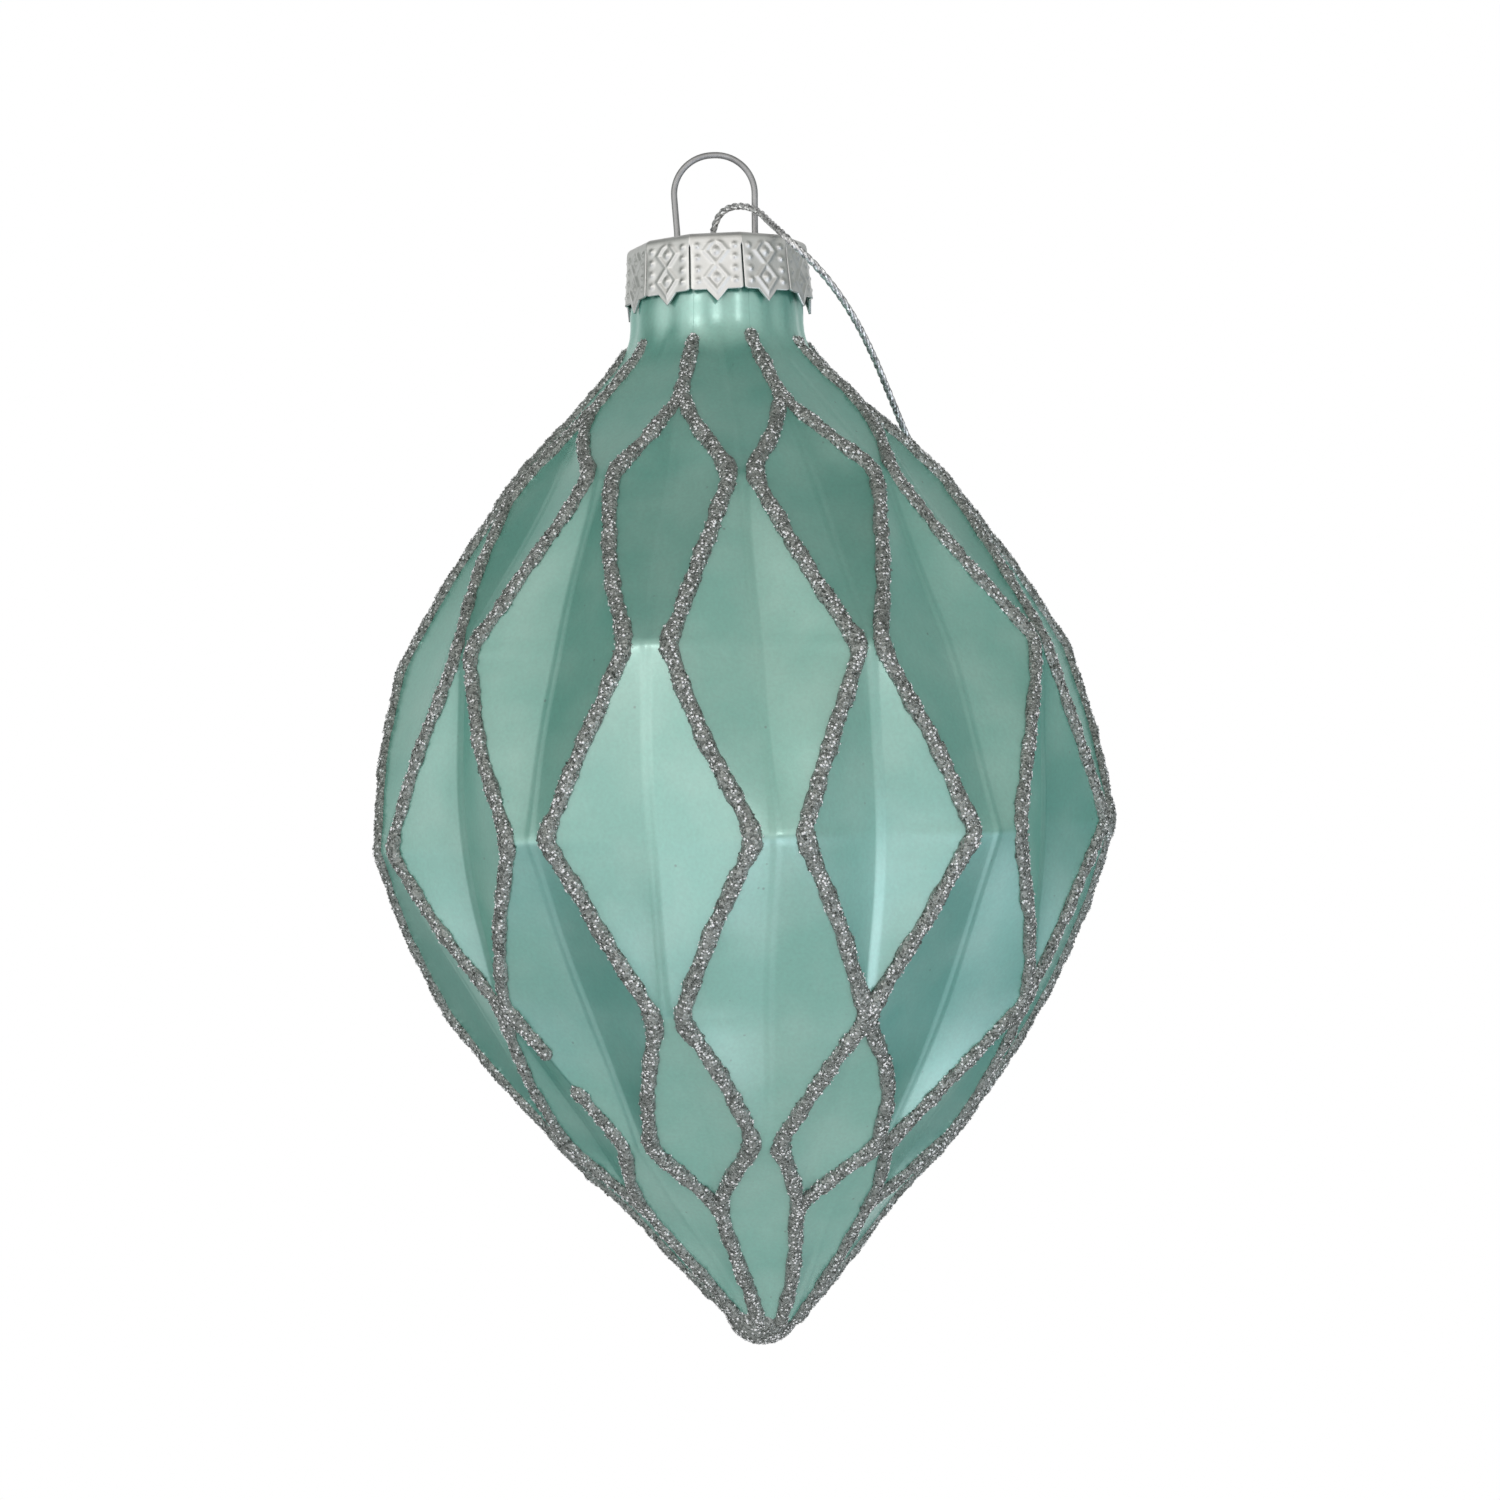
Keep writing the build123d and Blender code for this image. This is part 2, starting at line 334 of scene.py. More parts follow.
def metal_thread():
    """Flat silver foil wound on thread: bright and dark flecks along it."""
    made, nodes, links, shader = material("metal_thread")
    cells = noise(nodes, links, 3000, 0, "ShaderNodeTexVoronoi")
    tone = ramp(nodes, links, cells.outputs["Color"], [(0.1, 0.18), (0.35, 0.48), (0.7, 0.80), (0.9, 1.0)])
    links.new(tone, shader.inputs["Base Color"])
    links.new(ramp(nodes, links, cells.outputs["Color"], [(0.2, 0.45), (0.8, 0.25)]), shader.inputs["Roughness"])
    shader.inputs["Metallic"].default_value = 0.9
    bumped(nodes, links, shader, [(cells.outputs["Distance"], 1.0)], 0.5, 0.0001)
    return made


def floor_paper():
    """Pale paper that glows a little, as a lit studio floor does."""
    made, nodes, links, shader = material("floor_paper")
    paper = noise(nodes, links, 60, 4)
    links.new(ramp(nodes, links, paper.outputs["Fac"], [(0.3, 0.86), (0.7, 0.88)]), shader.inputs["Base Color"])
    shader.inputs["Roughness"].default_value = 0.9
    shader.inputs["Emission Color"].default_value = (1, 1, 1, 1)
    shader.inputs["Emission Strength"].default_value = 0.12
    return made


GLASS = lacquered_glass()
SILVERING = silvering()
GLUE = glitter_glue()
FLAKE = glitter_flake()
BRIGHT = painted_glint_flake()
CAP_METAL = stamped_sheet()
WIRE_METAL = drawn_wire()
THREAD = metal_thread()


# ---------------------------------------------------------------- the faceted body's surface

def with_bulge(knots, share):
    """The same knots, with one between each two that stands out by a share of their distance apart."""
    result = list(knots)
    for (low, first), (high, second) in zip(knots, knots[1:]):
        result.append(((low + high) / 2, (first + second) / 2 + share * abs(high - low)))
    return sorted(result)


RIDGE_BULGE = 0.022
RIDGE_EASE = 0.7
CREASE_EASE = 0.6
CREASE_BOW = 8.0                        # where a crease passes a row whose corners are not its own
TURN_EASE = 1.3
NECK_FLUTE = 0.35
NECK_EASE = 2.4
RIDGES_PART = ROWS[0][1] + 0.9          # the heights where a column's two ridges part and join again
RIDGES_JOIN = ROWS[-1][1] + 0.5
FAR = 80                                # a height beyond both ends

# How far the ridges stay from a lattice corner as they pass it on the left and on the right, by row, and for
# single corners as (row, column).
RIDGE_GAP = {1: (1.3, 1.2), 2: (1.5, 1.5), 3: (2.3, 2.3), 4: (0.9, 0.9), 5: (1.3, 1.3)}
RIDGE_GAP_AT = {
    (1, -2): (1.35, 1.35), (1, 0): (1.35, 1.1), (1, 2): (1.25, 1.4),
    (2, -3): (1.15, 1.0), (2, -1): (2.1, 2.25), (2, 1): (1.1, 1.1), (2, 3): (1.2, 1.2),
    (3, -2): (2.6, 1.9), (3, 0): (2.05, 2.75), (3, 2): (3.1, 3.1),
    (4, -3): (0.5, 0.5), (4, -1): (1.3, 1.5), (4, 1): (0.0, 0.0), (4, 3): (0.1, 0.1),
    (5, -2): (1.9, 1.35), (5, 0): (1.35, 1.35), (5, 2): (0.5, 0.5),
}

row_knots = [(height, radius) for radius, height in ROWS]
end_knots = [(END_HEIGHT, 0.5), (END_RING[1], END_RING[0])]
neck_knots = [(NECK_FOOT, NECK_RADIUS, NECK_EASE), (NECK_TAPER[0], NECK_RADIUS), (NECK_TAPER[1], RIM_RADIUS),
              (RIM_HEIGHT, RIM_RADIUS)]
ridge_knots = end_knots[:1] + with_bulge(sorted(end_knots[1:] + row_knots), RIDGE_BULGE) + neck_knots


def crease_knots(parity):
    """The crease of the columns whose corners lie on the rows of that parity."""
    knots = []
    for row, (radius, height) in enumerate(ROWS):
        knots.append((height, radius) if row % 2 == parity else (height, CREASE * radius, CREASE_BOW))
    return knots


def corner_gap(row, corner, on_right):
    """How far the ridge on one side of a lattice corner stays from it."""
    if (row, corner) in RIDGE_GAP_AT:
        return RIDGE_GAP_AT[row, corner][on_right]
    random = np.random.default_rng([row, corner % (2 * COLUMNS), on_right])
    return RIDGE_GAP[row][on_right] * random.uniform(0.8, 1.2)


def ridge_turn(z, column, side):
    """How far an odd column's ridge on one side has turned from it towards the even column beside it."""
    knots = [(FAR, 0), (RIDGES_PART, 0), (RIDGES_JOIN, 0), (-FAR, 0)]
    for row in range(1, len(ROWS) - 1):
        radius, height = ROWS[row]
        if row % 2 == 0:
            gap = corner_gap(row, column, int(side > 0))
            knots.append((height, gap / (radius * HALF_STEP)))
        else:
            gap = corner_gap(row, column + side, int(side < 0))
            knots.append((height, 1 - gap / (radius * HALF_STEP)))
    return np.clip(eased(z, knots, TURN_EASE), 0, 1)


def ridge_radius(z):
    """The glass's radius along its ridges at each height."""
    return eased(z, ridge_knots, RIDGE_EASE)


def crease_radii(z):
    """The radius of the crease in the odd and in the even columns at each height."""
    ridge = ridge_radius(z)
    odd = eased(z, end_knots + crease_knots(0) + neck_knots, CREASE_EASE)
    odd = np.where((z > ROWS[0][1]) | (z < ROWS[-1][1]), ridge, odd)
    fluted = [(NECK_FOOT, NECK_RADIUS - NECK_FLUTE, NECK_EASE)] + neck_knots[1:]
    return odd, eased(z, end_knots + crease_knots(1) + fluted, CREASE_EASE)


ROUNDING = (0.8, 0.5, 0.8, 0.5)       # of the odd crease, the ridge, the even crease and the other ridge
CORNER_STEPS = np.linspace(0, 1, 6)
CREASE_BEAD = (0, 0.01, 0.07, 0.07, 0.01, 0)    # how far each step across a crease stands up

# The mould's corners are not quite even: (row, column): (along the row, up), mm.
SHIFTS = {
    (0, -3): (-2.0, -0.1), (0, -1): (0.5, 0.2), (0, 1): (-0.1, -0.2), (0, 3): (1.3, 0.4),
    (1, -2): (0.8, 0.3), (1, 0): (0.2, -0.2), (1, 2): (1.1, -0.1),
    (2, -3): (0.6, 0.8), (2, -1): (0.3, 0.2), (2, 1): (0.0, -0.7), (2, 3): (2.0, 0.0),
    (3, -2): (0.7, 0.6), (3, 0): (0.7, -0.1), (3, 2): (-0.4, -0.6),
    (4, -3): (-0.3, 1.5), (4, -1): (-0.2, 0.2), (4, 1): (-0.7, -0.6), (4, 3): (1.8, -0.3),
    (5, -2): (-0.2, 0.3), (5, 0): (-0.3, 0.3), (5, 2): (-1.1, -0.5),
    (6, -3): (-1.6, -0.1), (6, -1): (0.2, 0.3), (6, 1): (-1.2, 0.3), (6, 3): (-1.6, -0.1),
}
SHIFT_REACH = 7.0

# The blown body wanders sideways from its axis: (height, sideways).
LEAN = [(-60, 0.65), (-45, 0.5), (-20, 0.1), (10, -0.1), (20, 0.0), (35, -0.35), (50, -0.45), (58, -0.5),
        (64, -0.3), (69, 0)]


def shifted(points):
    """Points on the even lattice, moved with the uneven corners near them and with the body's lean."""
    moved = np.array(points, float)
    radius, angle = np.hypot(moved[..., 0], moved[..., 1]), np.arctan2(moved[..., 0], -moved[..., 1])
    turn, rise = np.zeros_like(radius), np.zeros_like(radius)
    for (row, column), (along, up) in SHIFTS.items():
        corner_radius, height = ROWS[row]
        at = radians(PHASE) + column * HALF_STEP
        corner = np.array([corner_radius * sin(at), -corner_radius * cos(at), height])
        share = np.exp(-((moved - corner) ** 2).sum(-1) / (2 * SHIFT_REACH ** 2))
        turn, rise = turn + share * along / corner_radius, rise + share * up
    angle = angle + turn
    aside = np.interp(moved[..., 2], *zip(*LEAN))
    return np.stack([radius * np.sin(angle) + aside, -radius * np.cos(angle), moved[..., 2] + rise], -1)


def short_of(sides, reach):
    """Vectors along the sides as long as the reach, but never half as long as the side."""
    length = np.linalg.norm(sides, axis=-1, keepdims=True)
    return sides / np.maximum(length, 1e-9) * np.minimum(reach, 0.45 * length)


def sections(z):
    """Rings round the glass at each height: straight from crease to ridge, with every corner rounded."""
    ridge, (odd, even) = ridge_radius(z), crease_radii(z)
    radii, angles = [], []
    for column in range(1 - COLUMNS, COLUMNS, 2):
        start = radians(PHASE) + column * HALF_STEP
        radii += [odd, ridge, even, ridge]
        angles += [start + 0 * z, start + ridge_turn(z, column, 1) * HALF_STEP, start + HALF_STEP + 0 * z,
                   start + (2 - ridge_turn(z, column + 2, -1)) * HALF_STEP]
    radii, angles = np.array(radii), np.array(angles)
    corners = np.stack([radii * np.sin(angles), -radii * np.cos(angles)], -1)
    reach = np.tile(ROUNDING, COLUMNS)[:, None, None]
    starts, ends = (corners + short_of(np.roll(corners, way, 0) - corners, reach) for way in (1, -1))
    points = []
    for corner in range(len(corners)):
        for t, bead in zip(CORNER_STEPS, CREASE_BEAD):
            bend = (1 - t) ** 2 * starts[corner] + 2 * t * (1 - t) * corners[corner] + t ** 2 * ends[corner]
            points.append(bend + unit(bend) * bead * (corner % 2 == 0))
        following = starts[(corner + 1) % len(corners)]
        for share in (1 / 3, 2 / 3):
            points.append(ends[corner] * (1 - share) + following * share)
    points = np.array(points).transpose(1, 0, 2)
    return round_neck(points, z)


def round_neck(points, z):
    """The flutes die out up the neck, which is round under the cap."""
    share = np.interp(z, [NECK_FOOT - 2.2, NECK_FOOT + 0.8], [0, 1])[:, None, None]
    radius = np.linalg.norm(points, axis=-1, keepdims=True)
    angle = np.arctan2(points[..., :1], -points[..., 1:])
    turn = COLUMNS * (angle - radians(PHASE))
    flutes = 0.05 * np.cos(7 * angle + 1) - 0.13 * np.cos(turn) - 0.05 * np.cos(2 * turn)
    fade = np.interp(z, [NECK_FOOT, NECK_TAPER[0], NECK_TAPER[1]], [1, 1, 0])[:, None, None]
    circle = points / radius * (ridge_radius(z)[:, None, None] + flutes * fade)
    return points * (1 - share) + circle * share


def levels():
    """Heights up the glass, closer together by the rows."""
    heights = [END_HEIGHT, END_HEIGHT + 0.3, END_HEIGHT + 0.8]
    stops = [END_RING[1]] + sorted(height for _, height in ROWS) + [NECK_FOOT, NECK_TAPER[1]]
    for low, high in zip(stops, stops[1:]):
        count = max(6, round((high - low) / 0.8))
        share = np.linspace(0, 1, count, endpoint=False)
        heights += list(low + (high - low) * (share - 0.13 * np.sin(2 * pi * share)))
    return np.array(heights + [NECK_TAPER[1], RIM_HEIGHT - 1.5, RIM_HEIGHT - 0.5])


# The ground lip of the neck, from outside to inside: (radius, height from the rim).
LIP = [(9.36, -0.3), (9.22, -0.1), (9.0, 0.0), (8.9, -0.1), (BORE_RADIUS, -0.35)]


def glass_shell():
    """The lacquered outside and the silvered inside of the glass, joined at the lip."""
    z = levels()
    outer = sections(z)
    across = outer.shape[1]
    rings = [shifted(np.column_stack([ring, np.full(across, height)])) for ring, height in zip(outer, z)]
    directions = unit(outer[-1])
    for radius, height in LIP:
        rings.append(np.column_stack([directions * radius, np.full(across, RIM_HEIGHT + height)]))
    outer_rings = len(rings)
    for height in (NECK_TAPER[0], NECK_FOOT + 0.5):
        rings.append(np.column_stack([directions * BORE_RADIUS, np.full(across, height)]))
    inside = z[(z < NECK_FOOT - 1.5) & (z > END_RING[1])][::-1][::3]
    for ring, height in zip(sections(inside), inside):
        radius = np.linalg.norm(ring, axis=1, keepdims=True)
        rings.append(shifted(np.column_stack([ring * (radius - WALL) / radius, np.full(across, height)])))
    faces = ring_faces(len(rings), across)
    slots = np.repeat([0, 1], [(outer_rings - 1) * across, (len(rings) - outer_rings) * across])
    points = np.concatenate(rings)
    bottom, top = len(points), len(points) + 1
    points = np.concatenate([points, [[0, 0, END_HEIGHT - 0.05], [0, 0, END_HEIGHT + WALL]]])
    last = (len(rings) - 1) * across
    fans = [[bottom, (i + 1) % across, i] for i in range(across)]
    fans += [[top, last + i, last + (i + 1) % across] for i in range(across)]
    slots = np.concatenate([slots, np.repeat([0, 1], across)])
    piece = new_mesh("glass_body", points, faces.tolist() + fans, [GLASS, SILVERING], "glass",
                     slots)
    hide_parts("glass_shell")
    return piece


# ---------------------------------------------------------------- glitter

LINE_STEP = 0.35
LINE_HALF_WIDTH = 0.88
LINE_HEIGHT = 0.72
LINE_SUNK = 0.16
AROUND = 12
LINES_PART = ROWS[0][1] + 1.6           # the two lines of a column overlap the stems at both ends
LINES_JOIN = ROWS[-1][1] - 0.9
BARE = {(-3, 1): (-27.3, -24.6)}        # one line was missed here: (column, side): heights
# Grey and bright flakes: (how many per mm of line, least and largest radius, how far they stand out, how tilted).
GREY_FLAKES = (15, (0.09, 0.19), 0.08, 0.45)
BRIGHT_FLAKES = (5.2, (0.16, 0.22), 0.13, 0.30)


def column_name(column):
    """The CAD node of a column's glitter."""
    return f"glitter_line_{((column - 1) // 2) % COLUMNS + 1:02d}"


def line_path(column, side, top, bottom, random):
    """Points down a line on the glass, from one height to another, and the way out of the glass at each."""
    z = np.linspace(top, bottom, 900)
    turn = ridge_turn(z, column, side) if side else 0
    sway = wobble(z, random, 17.0) * 0.08 + wobble(z, random, 5.0) * 0.04
    radius = ridge_radius(z) - 0.06
    angle = radians(PHASE) + (column + side * turn) * HALF_STEP + sway / np.maximum(radius, 3)
    points = shifted(np.stack([radius * np.sin(angle), -radius * np.cos(angle), z], -1))
    along = lengths_along(points)
    points = points_at(np.arange(0, along[-1], LINE_STEP), along, points)
    tangent = unit(np.gradient(points, axis=0))
    out = unit(points * [1, 1, 0])
    out = unit(out - tangent * (out * tangent).sum(1, keepdims=True))
    return points, tangent, out


def line_widths(points, random):
    """Half the line's width along it: uneven, fuller in the corners of the lattice, and tapered at its ends."""
    along = np.arange(len(points)) * LINE_STEP
    width = LINE_HALF_WIDTH * (1 + 0.10 * wobble(along, random, 6.0) + 0.05 * wobble(along, random, 1.9))
    for _, height in ROWS[1:-1]:
        width *= 1 + 0.20 * np.exp(-((points[:, 2] - height) / 2.0) ** 2)
    end = np.minimum(along, along[-1] - along)
    return width * np.sqrt(np.clip(end / 0.7 + 0.05, 0.05, 1))


def bead_tube(points, tangent, out, width):
    """A flattened tube along a line, partly sunk in the glass, as (points, quads)."""
    side = np.cross(tangent, out)
    turn = np.arange(AROUND) / AROUND * 2 * pi
    height = LINE_HEIGHT * np.clip(width / LINE_HALF_WIDTH, 0.2, 1.15)
    centre = points - out * LINE_SUNK
    rings = (centre[:, None] + side[:, None] * np.cos(turn)[:, None] * width[:, None, None]
             + out[:, None] * np.sin(turn)[:, None] * height[:, None, None])
    return rings.reshape(-1, 3), ring_faces(len(points), AROUND)


def chips(centres, normals, sizes, random):
    """Flat eight-sided chips of foil at those places, facing along the normals, as (points, triangles)."""
    count = len(centres)
    spin = unit(np.cross(normals, random.normal(size=(count, 3))))
    other = np.cross(normals, spin)
    stretch = random.uniform(0.75, 1.25, (count, 1))
    thick = sizes[:, None] * 0.22
    corners = [spin * sizes[:, None] * stretch, other * sizes[:, None], -spin * sizes[:, None] * stretch,
               -other * sizes[:, None], normals * thick, -normals * thick]
    points = (centres[:, None] + np.stack(corners, 1)).reshape(-1, 3)
    first = np.arange(count)[:, None, None] * 6
    pattern = np.array([[0, 1, 4], [1, 2, 4], [2, 3, 4], [3, 0, 4], [1, 0, 5], [2, 1, 5], [3, 2, 5], [0, 3, 5]])
    return points, (first + pattern).reshape(-1, 3)


def flakes_on_tube(points, tangent, out, width, random, kind):
    """Flakes scattered over the part of a bead that stands out of the glass."""
    per_mm, sizes, proud, tilt = kind
    count = int(len(points) * LINE_STEP * per_mm)
    where = random.uniform(0, len(points) - 1.001, count)
    low = where.astype(int)
    share = (where - low)[:, None]
    blend = [a[low] * (1 - share) + a[low + 1] * share for a in (points, tangent, out)]
    middle, ahead, up = blend[0], unit(blend[1]), unit(blend[2])
    half = (width[low] * (1 - share[:, 0]) + width[low + 1] * share[:, 0])
    side = np.cross(ahead, up)
    lean = np.clip(random.normal(0, 0.75, count), -1.35, 1.35)
    height = LINE_HEIGHT * np.clip(half / LINE_HALF_WIDTH, 0.2, 1.15)
    across, over = np.sin(lean)[:, None], np.cos(lean)[:, None]
    centres = middle - up * LINE_SUNK + side * across * half[:, None] + up * over * height[:, None]
    normals = unit(side * across / half[:, None] + up * over / height[:, None])
    normals = unit(normals + tilt * random.normal(size=(count, 3)))
    return chips(centres + normals * random.uniform(0.0, proud, (count, 1)), normals,
                 random.uniform(*sizes, count), random)


def joined(parts):
    """Several (points, faces) as one, with the number of faces in each."""
    points, faces, counts, first = [], [], [], 0
    for part_points, part_faces in parts:
        points.append(part_points)
        faces.append((part_faces + first).tolist())
        counts.append(len(part_faces))
        first += len(part_points)
    return np.concatenate(points), [face for part in faces for face in part], counts


def glitter_piece(name, tubes, grey, bright, cad_node):
    """Glue and its grey and bright flakes as one piece, in the place of a CAD node."""
    points, faces, counts = joined(tubes + grey + bright)
    slots = np.repeat([0] * len(tubes) + [1] * len(grey) + [2] * len(bright), counts)
    piece = new_mesh(name, points, faces, [GLUE, FLAKE, BRIGHT], "glass", slots)
    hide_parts(cad_node)
    return piece


def glitter_line(column):
    """A column's stem, its two lines and the stem that they join in, with their flakes."""
    random = np.random.default_rng(100 + column)
    runs = [(0, STEM_TOP + random.uniform(-0.5, 0.5), ROWS[0][1] - 0.2), (0, ROWS[-1][1] + 0.9, END_RING[1] - 0.5)]
    for side in (-1, 1):
        low, high = BARE.get((column, side), (None, None))
        if low is None:
            runs.append((side, LINES_PART, LINES_JOIN))
        else:
            runs += [(side, LINES_PART, high), (side, low, LINES_JOIN)]
    tubes, grey, bright = [], [], []
    for side, top, bottom in runs:
        points, tangent, out = line_path(column, side, top, bottom, np.random.default_rng(500 + 7 * column + side))
        width = line_widths(points, random)
        tubes.append(bead_tube(points, tangent, out, width))
        grey.append(flakes_on_tube(points, tangent, out, width, random, GREY_FLAKES))
        bright.append(flakes_on_tube(points, tangent, out, width, random, BRIGHT_FLAKES))
    return glitter_piece(column_name(column) + "_bead", tubes, grey, bright, column_name(column))


def glitter_tip():
    """The dipped point: a blunt drop of glue with flakes all over."""
    random = np.random.default_rng(7)
    rows, around = 18, 40
    height = np.linspace(0.75, -1, rows)
    turn = np.arange(around) / around * 2 * pi
    radius = TIP_BEAD_RADIUS * np.sqrt(np.clip(1 - height ** 2, 0.0005, 1))
    lumps = 1 + 0.03 * np.sin(3 * turn + 1)[None] + 0.02 * np.sin(7 * turn + 5 * height[:, None])
    points = np.stack([radius[:, None] * np.cos(turn) * lumps, radius[:, None] * np.sin(turn) * lumps,
                       TIP_BEAD_HEIGHT + TIP_BEAD_RADIUS * height[:, None] + 0 * turn], -1)
    flakes = []
    for per_mm, sizes, proud, tilt in (GREY_FLAKES, BRIGHT_FLAKES):
        count = int(80 * per_mm)
        up = random.uniform(-1, 0.35, count)
        way = random.uniform(0, 2 * pi, count)
        flat = np.sqrt(1 - up ** 2)
        direction = np.stack([flat * np.cos(way), flat * np.sin(way), up], -1)
        centres = direction * (TIP_BEAD_RADIUS + random.uniform(0.0, proud, (count, 1))) + [0, 0, TIP_BEAD_HEIGHT]
        normals = unit(direction + tilt * random.normal(size=(count, 3)))
        flakes.append(chips(centres, normals, random.uniform(*sizes, count), random))
    tube = points.reshape(-1, 3), ring_faces(rows, around)
    return glitter_piece("glitter_tip_bead", [tube], flakes[:1], flakes[1:], "glitter_tip")


# ---------------------------------------------------------------- crown cap

EMBOSS_RIDGE = 0.18                     # how far the diamonds' outlines stand out, and how wide they spread
EMBOSS_RIDGE_SPREAD = 0.29
EMBOSS_DOT = 0.27
EMBOSS_DOT_SPREAD = 0.48
SIDE_DOT_SPREAD = 0.31
DIAMOND_HALF = (1.25, 1.6)
DIAMOND_MIDDLES = (67.3, 64.2)
SIDE_DOTS = [67.9, 66.55, 65.2, 63.85]
SIDE_DOTS_AT = 2.15
TAN_HALF_PANEL = tan(pi / PANELS)
TOP_FLAT = CAP_TOP_RADIUS * cos(pi / PANELS)
TOOTH_FLAT = TOOTH_RADIUS * cos(pi / PANELS)


def embossing(x, z):
    """How far the stamping stands out of a panel: two diamonds with a dot in each, between columns of dots."""
    half_x, half_z = DIAMOND_HALF
    height = np.zeros_like(x)
    for middle in DIAMOND_MIDDLES:
        off = (np.abs(x) / half_x + np.abs(z - middle) / half_z - 1) / np.hypot(1 / half_x, 1 / half_z)
        height = np.maximum(height, EMBOSS_RIDGE * np.exp(-(off / EMBOSS_RIDGE_SPREAD) ** 2))
        inside = np.clip(-off, 0, 0.3) * 0.15
        dot = EMBOSS_DOT * np.exp(-((x ** 2 + (z - middle) ** 2) / EMBOSS_DOT_SPREAD ** 2))
        height = np.maximum(height, dot) - inside * 0.3
    for middle in SIDE_DOTS:
        away = (np.abs(x) - SIDE_DOTS_AT) ** 2 + (z - middle) ** 2
        height = np.maximum(height, EMBOSS_DOT * 0.75 * np.exp(-away / SIDE_DOT_SPREAD ** 2))
    return height


def panel_columns():
    """Places across a panel, as (share of the tooth's half width, share of the rest)."""
    outer = 1 - np.linspace(0, 1, 19)
    left = [(-1.0, -share) for share in outer[:-1]]
    middle = [(share, 0.0) for share in np.linspace(-1, 1, 27)]
    right = [(-a, -b) for a, b in reversed(left)]
    return np.array(left + middle + right)


def cap_panel():
    """A panel of the skirt in its front view, from the bend at the top to the tooth: rings of points."""
    shares = panel_columns()
    tooth_half = TOOTH_WIDTH / 2
    rows = []
    for turn in np.linspace(0, pi / 2, 6):
        drop = RIM_BEND * (1 - cos(turn))
        rows.append((TOP_FLAT - RIM_BEND * (1 - sin(turn)), CAP_TOP - drop, None))
    straight = np.linspace(0, 1, 60)[1:]
    rows += [(None, None, share) for share in straight]
    points = []
    start = CAP_TOP - RIM_BEND
    for flat, height, share in rows:
        if share is not None:
            middle_z = start + (SKIRT_HEIGHT - start) * share
            flat = np.interp(middle_z, [TOOTH_HEIGHT, start], [TOOTH_FLAT, TOP_FLAT])
            half = flat * TAN_HALF_PANEL - SLIT / 2 * np.clip((SLIT_TOP - middle_z) / 0.4, 0, 1)
            x = shares[:, 0] * tooth_half + shares[:, 1] * (half - tooth_half)
            edge = np.clip((np.abs(x) - half + 0.5) / 0.5, 0, 1)
            end = SKIRT_HEIGHT + 0.18 * edge ** 2
            tip = (SKIRT_HEIGHT - TOOTH_HEIGHT) * np.clip(1 - np.abs(shares[:, 0]), 0, 1) * (shares[:, 1] == 0)
            z = start + (end - tip - start) * share
            curl = 0.10 * edge ** 2 * np.clip((SLIT_TOP - z) / 2, 0, 1)
            flat = np.interp(z, [TOOTH_HEIGHT, start], [TOOTH_FLAT, TOP_FLAT]) - curl
            flat = flat + embossing(x, z) * np.clip((start - z) / 0.4, 0, 1)
        else:
            x = (shares[:, 0] * tooth_half + shares[:, 1] * (flat * TAN_HALF_PANEL - tooth_half))
            z = np.full(len(x), height)
            flat = np.full(len(x), flat)
        points.append(np.stack([x, -flat, z], -1))
    return np.array(points)


def turned(points, degrees):
    """Points turned about the axis."""
    c, s = cos(radians(degrees)), sin(radians(degrees))
    return points @ np.array([[c, s, 0], [-s, c, 0], [0, 0, 1]])


def cap_top(edge):
    """The flat top inside the bend, with the wire's two holes, as (points, triangles)."""
    points, loops, first = [], [], 0
    outlines = [edge[:, :2]]
    turn = np.arange(28) / 28 * 2 * pi
    for side in (-1, 1):
        outlines.append(np.stack([side * LEG_SPACING / 2 + WIRE_HOLE_RADIUS * np.cos(turn),
                                  WIRE_HOLE_RADIUS * np.sin(turn)], -1))
    for outline in outlines:
        points += outline.tolist()
        loops.append(list(range(first, first + len(outline))))
        first += len(outline)
    inner = []
    for radius in np.linspace(1.0, 8.8, 9):
        for step in range(int(radius * 5)):
            angle = step / int(radius * 5) * 2 * pi
            spot = (radius * cos(angle), radius * sin(angle))
            if min(abs(complex(*spot) - side * LEG_SPACING / 2) for side in (-1, 1)) > WIRE_HOLE_RADIUS + 0.25:
                inner.append(spot)
    edges = [(loop[i], loop[(i + 1) % len(loop)]) for loop in loops for i in range(len(loop))]
    made = geometry.delaunay_2d_cdt([Vector(p) for p in points + inner], edges, [], 0, 1e-6)
    flat = np.array([tuple(v) for v in made[0]])
    triangles = []
    for face in made[2]:
        middle = complex(*flat[face].mean(0))
        if min(abs(middle - side * LEG_SPACING / 2) for side in (-1, 1)) > WIRE_HOLE_RADIUS * 0.97:
            triangles.append(list(face))
    radius = np.hypot(*flat.T)
    press = 0.16 * np.exp(-((radius - 6.9) / 0.5) ** 2)
    return np.column_stack([flat, CAP_TOP - press * 0.8]), triangles


